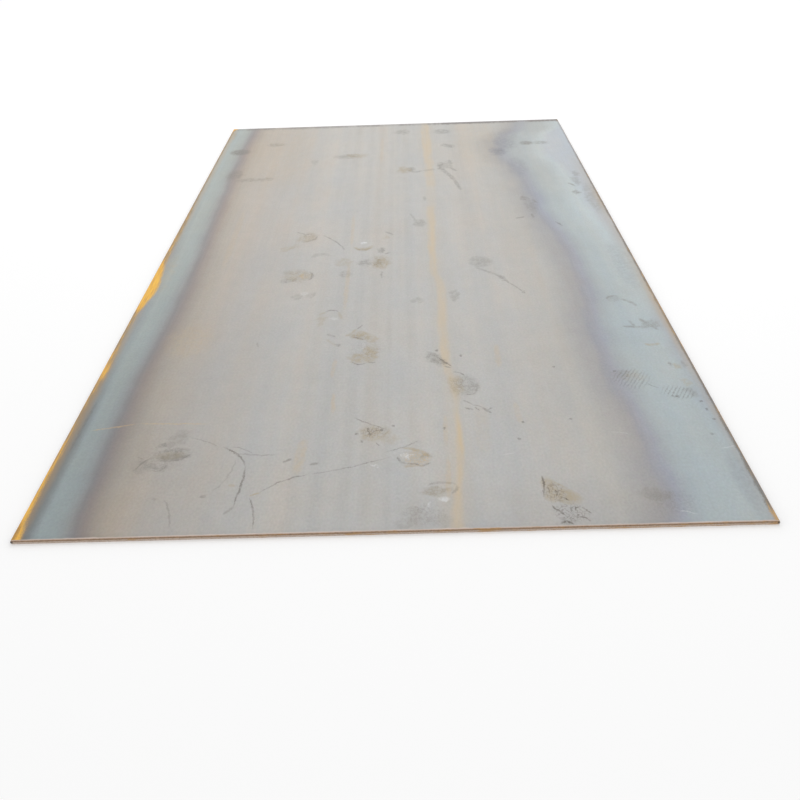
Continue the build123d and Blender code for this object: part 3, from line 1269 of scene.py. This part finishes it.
@dataclass
class SteelPlate:
    """The plate: a worn top face, two rounded mill edges and two sheared ends."""

    low: Vector
    high: Vector
    nose_depth: float = 0.0032
    roll_over: float = 0.0014
    land: float = 0.0034
    blade_clearance: float = 0.0009
    columns: int = 300
    rows: int = 200
    # Where one stretch of the top face's finish meets the next, measured from the front end
    stretch_ends: Sequence[float] = (0.30, 0.95, 1.80)
    # Heights at which the edge is modelled, as shares of the thickness
    level_shares: Sequence[float] = (
        0.985, 0.95, 0.90, 0.86, 0.75, 0.62, 0.52, 0.48,
        0.36, 0.25, 0.14, 0.10, 0.05, 0.015, 0.0,
    )
    # Share of the thickness within which a face counts as part of the top or the underside
    skin_share: float = 0.001
    # Steepest turn between two faces that still shades as one curve, in degrees
    crease: float = 35.0
    # Depths of the relief, and its features per metre
    edge_wave: float = 0.0008
    edge_wave_rate: float = 7.0
    edge_grain: float = 0.00025
    edge_grain_rates: Spot = (300.0, 60.0)
    slope_grain: float = 0.00035
    slope_grain_rates: Spot = (90.0, 700.0)
    face_wave: float = 0.0005
    face_wave_rates: Spot = (3.0, 2.2)
    face_wave_start: float = 4.0
    # How wide the strip along the rim is in which the top face's wave dies out
    calm_margin: float = 0.06

    @property
    def width(self) -> float:
        """Size across, with both noses."""
        return self.high.x - self.low.x

    @property
    def length(self) -> float:
        """Size from the front end to the rear end."""
        return self.high.y - self.low.y

    @property
    def thickness(self) -> float:
        """Size from the underside to the top face."""
        return self.high.z - self.low.z

    def half_width(self, height: float) -> float:
        """Half the width at a height, where the noses are arcs of a circle."""
        middle = self.thickness / 2
        radius = (middle**2 + self.nose_depth**2) / (2 * self.nose_depth)
        return self.width / 2 - radius + math.sqrt(radius**2 - (height - middle) ** 2)

    def end_inset(self, depth: float) -> float:
        """How far a sheared end stands back, at a depth below the face that rolled over."""
        if depth < self.roll_over:
            rest = self.roll_over - depth
            return self.roll_over - math.sqrt(self.roll_over**2 - rest**2)
        foot = self.roll_over + self.land
        slope = (depth - foot) / (self.thickness - foot)
        return max(0.0, slope) * self.blade_clearance

    def ring(self, height: float) -> Matrix:
        """Places a unit square as the outline of the plate at that height."""
        front = self.low.y + self.end_inset(self.thickness - height)
        rear = self.high.y - self.end_inset(height)
        place = Matrix.Translation((0.0, (front + rear) / 2, self.low.z + height))
        size = Matrix.Diagonal((2 * self.half_width(height), rear - front, 1.0, 1.0))
        return place @ size

    def build(self) -> bpy.types.Object:
        """Models the plate as one closed shell.

        Returns:
            The plate's object, at the origin.
        """
        shell = bmesh.new()
        outline = self.ring(self.thickness)
        grid = bmesh.ops.create_grid(
            shell, x_segments=self.columns, y_segments=self.rows, size=0.5, matrix=outline
        )
        rim = [edge for edge in shell.edges if edge.is_boundary]
        for share in self.level_shares:
            lower = self.ring(share * self.thickness)
            skirt = bmesh.ops.extrude_edge_only(shell, edges=rim)["geom"]
            corners = [item for item in skirt if isinstance(item, bmesh.types.BMVert)]
            bmesh.ops.transform(shell, matrix=lower @ outline.inverted(), verts=corners)
            edges = [item for item in skirt if isinstance(item, bmesh.types.BMEdge)]
            rim = [edge for edge in edges if edge.is_boundary]
            outline = lower
        bmesh.ops.contextual_create(shell, geom=rim)
        self._sort_faces(shell)
        self._wear(shell, grid["verts"])
        bmesh.ops.recalc_face_normals(shell, faces=shell.faces)
        self._crease(shell)
        mesh = bpy.data.meshes.new("steel_plate")
        shell.to_mesh(mesh)
        shell.free()
        piece = bpy.data.objects.new("steel_plate", mesh)
        bpy.context.scene.collection.objects.link(piece)
        return piece

    def _sort_faces(self, shell: bmesh.types.BMesh) -> None:
        """Gives each face its finish, by where it lies."""
        flat_half_width = self.half_width(self.thickness)
        skin = self.skin_share * self.thickness
        for face in shell.faces:
            face.smooth = True
            heights = [vert.co.z - self.low.z for vert in face.verts]
            middle = face.calc_center_median()
            if min(heights) > self.thickness - skin:
                passed = sum(middle.y - self.low.y > end for end in self.stretch_ends)
                face.material_index = Surface.TOP.value + passed
            elif max(heights) < skin:
                face.material_index = Surface.UNDERSIDE.value
            elif abs(middle.x) > flat_half_width:
                face.material_index = Surface.MILL_EDGE.value
            else:
                face.material_index = Surface.SHEARED_END.value

    def _crease(self, shell: bmesh.types.BMesh) -> None:
        """Marks the sharp edges: steep turns, and all around the underside."""
        for edge in shell.edges:
            finishes = [face.material_index for face in edge.link_faces]
            steep = edge.calc_face_angle(0.0) >= math.radians(self.crease)
            edge.smooth = not steep and Surface.UNDERSIDE.value not in finishes

    def _wear(self, shell: bmesh.types.BMesh, top: Sequence[bmesh.types.BMVert]) -> None:
        """Gives the shell the relief of real plate, always inwards from the true size."""
        flat_half_width = self.half_width(self.thickness)
        front_flat = self.low.y + self.roll_over
        rear_flat = self.high.y - self.blade_clearance
        for vert in shell.verts:
            place = vert.co.copy()
            height = place.z - self.low.z
            nose = (abs(place.x) - flat_half_width) / self.nose_depth
            if nose > 0.0:
                up_rate, along_rate = self.edge_grain_rates
                wave = unit_noise(place.x, place.y * self.edge_wave_rate, 0.0)
                grain = unit_noise(height * up_rate, place.y * along_rate, place.x)
                inward = nose * (wave * self.edge_wave + grain * self.edge_grain)
                vert.co.x -= math.copysign(inward, place.x)
            if place.y < front_flat or place.y > rear_flat:
                rear = place.y > 0.0
                depth = height if rear else self.thickness - height
                rough = min(1.0, max(0.0, depth - self.roll_over) / self.land)
                across_rate, down_rate = self.slope_grain_rates
                grain = unit_noise(place.x * across_rate, depth * down_rate, float(rear))
                inward = rough * grain * self.slope_grain
                vert.co.y += -inward if rear else inward
        across_rate, along_rate = self.face_wave_rates
        for vert in top:
            across, along, _ = vert.co
            margin = min(flat_half_width - abs(across), along - front_flat, rear_flat - along)
            calm = min(1.0, max(0.0, margin) / self.calm_margin)
            wave = unit_noise(across * across_rate, along * along_rate, self.face_wave_start)
            vert.co.z -= calm * wave * self.face_wave

    def dress(self, piece: bpy.types.Object) -> None:
        """Gives each surface its finish."""
        flat_width = 2 * self.half_width(self.thickness)
        ends = (0.0, *self.stretch_ends, self.length)
        finishes = {
            Surface.MILL_EDGE: [MillEdge(self.thickness)],
            Surface.SHEARED_END: [ShearedEnd(self.thickness, self.roll_over, self.land)],
            Surface.UNDERSIDE: [PlainScale()],
            Surface.TOP: [MillScale(flat_width, self.length, pair) for pair in zip(ends, ends[1:])],
        }
        for surface in Surface:
            for finish in finishes[surface]:
                piece.data.materials.append(finish.material())


@dataclass(frozen=True)
class SoftLamp:
    """A large soft lamp, aimed at the middle of the plate."""

    name: str
    place: tuple[float, float, float]
    size: tuple[float, float]
    power: float

    def build(self) -> None:
        """Hangs the lamp."""
        lamp = bpy.data.lights.new(self.name, "AREA")
        lamp.shape = "RECTANGLE"
        lamp.size, lamp.size_y = self.size
        lamp.energy = self.power
        holder = bpy.data.objects.new(self.name, lamp)
        holder.location = self.place
        holder.rotation_euler = (-Vector(self.place)).to_track_quat("-Z", "Y").to_euler()
        bpy.context.scene.collection.objects.link(holder)


@dataclass
class Studio:
    """Pale floor, even white surroundings, soft lamps and the camera."""

    floor_size: float = 80.0
    # A hair above the underside, because two faces in one plane shade each other in streaks
    floor_height: float = 0.0001
    floor_colour: Colour = (0.93, 0.93, 0.93)
    mottle_colour: Colour = (0.90, 0.90, 0.90)
    mottle_strength: float = 0.02
    floor_roughness: float = 0.9
    floor_glow: float = 0.10
    sky_strength: float = 0.82
    lamps: Sequence[SoftLamp] = (
        SoftLamp("top_lamp", (0.6, 2.6, 4.6), (5.0, 5.0), 62.0),
        SoftLamp("rear_panel", (0.0, 7.5, 2.6), (10.0, 3.0), 45.0),
    )
    camera_place: tuple[float, float, float] = (0.045, -2.979, 1.181)
    camera_pitch: float = 30.65
    camera_yaw: float = 0.87
    camera_roll: float = -2.04
    lens: float = 43.30
    sensor: float = 36.0

    def build(self) -> None:
        """Makes everything around the plate."""
        self._floor()
        self._sky()
        for lamp in self.lamps:
            lamp.build()
        self._camera()

    def _floor(self) -> None:
        """Lays a wide pale floor under the plate."""
        sheet = bmesh.new()
        level = Matrix.Translation((0.0, 0.0, self.floor_height))
        bmesh.ops.create_grid(
            sheet, x_segments=1, y_segments=1, size=self.floor_size / 2, matrix=level
        )
        mesh = bpy.data.meshes.new("floor")
        sheet.to_mesh(mesh)
        sheet.free()
        board = SurfaceBoard("pale_floor")
        mottle = board.grain((0.8, 0.8), 6.0, 2.0).ease() * self.mottle_strength
        inputs = {
            "Base Color": board.blend(mottle, self.floor_colour, self.mottle_colour),
            "Roughness": self.floor_roughness,
            "Specular IOR Level": 0.0,
            "Emission Color": board.backdrop_rays(),
            "Emission Strength": self.floor_glow,
        }
        mesh.materials.append(board.finish(inputs))
        floor = bpy.data.objects.new("floor", mesh)
        bpy.context.scene.collection.objects.link(floor)

    def _sky(self) -> None:
        """Lights from all around; the camera and reflections see it as plain white."""
        world = bpy.data.worlds.new("white_surroundings")
        world.use_nodes = True
        bpy.context.scene.world = world
        board = NodeBoard(world.node_tree)
        strength = board.backdrop_rays().rise(0.0, 1.0, self.sky_strength, 1.0)
        inputs = {"Color": WHITE, "Strength": strength}
        light = board.node("ShaderNodeBackground", None, inputs, "Background")
        board.node("ShaderNodeOutputWorld", None, {"Surface": light}, None)

    def _camera(self) -> None:
        """Stands the camera where the photograph was taken from."""
        camera = bpy.data.cameras.new("camera")
        camera.lens = self.lens
        camera.sensor_width = self.sensor
        camera.clip_end = 2 * self.floor_size
        holder = bpy.data.objects.new("camera", camera)
        turn = Matrix.Rotation(math.radians(self.camera_yaw), 4, "Z")
        tilt = Matrix.Rotation(math.radians(90.0 - self.camera_pitch), 4, "X")
        roll = Matrix.Rotation(math.radians(self.camera_roll), 4, "Z")
        holder.matrix_world = Matrix.Translation(self.camera_place) @ turn @ tilt @ roll
        bpy.context.scene.collection.objects.link(holder)
        bpy.context.scene.camera = holder


def main() -> None:
    """Builds the plate and the studio around it."""
    logging.basicConfig(level=logging.INFO)
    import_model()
    plate = SteelPlate(*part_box(PLATE_NODE))
    piece = plate.build()
    plate.dress(piece)
    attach(piece, PLATE_BODY)
    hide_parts(PLATE_NODE)
    LOG.info("%s: %d faces", piece.name, len(piece.data.polygons))
    Studio().build()
    bpy.context.scene.view_settings.view_transform = "Standard"


if __name__ == "__main__":
    main()
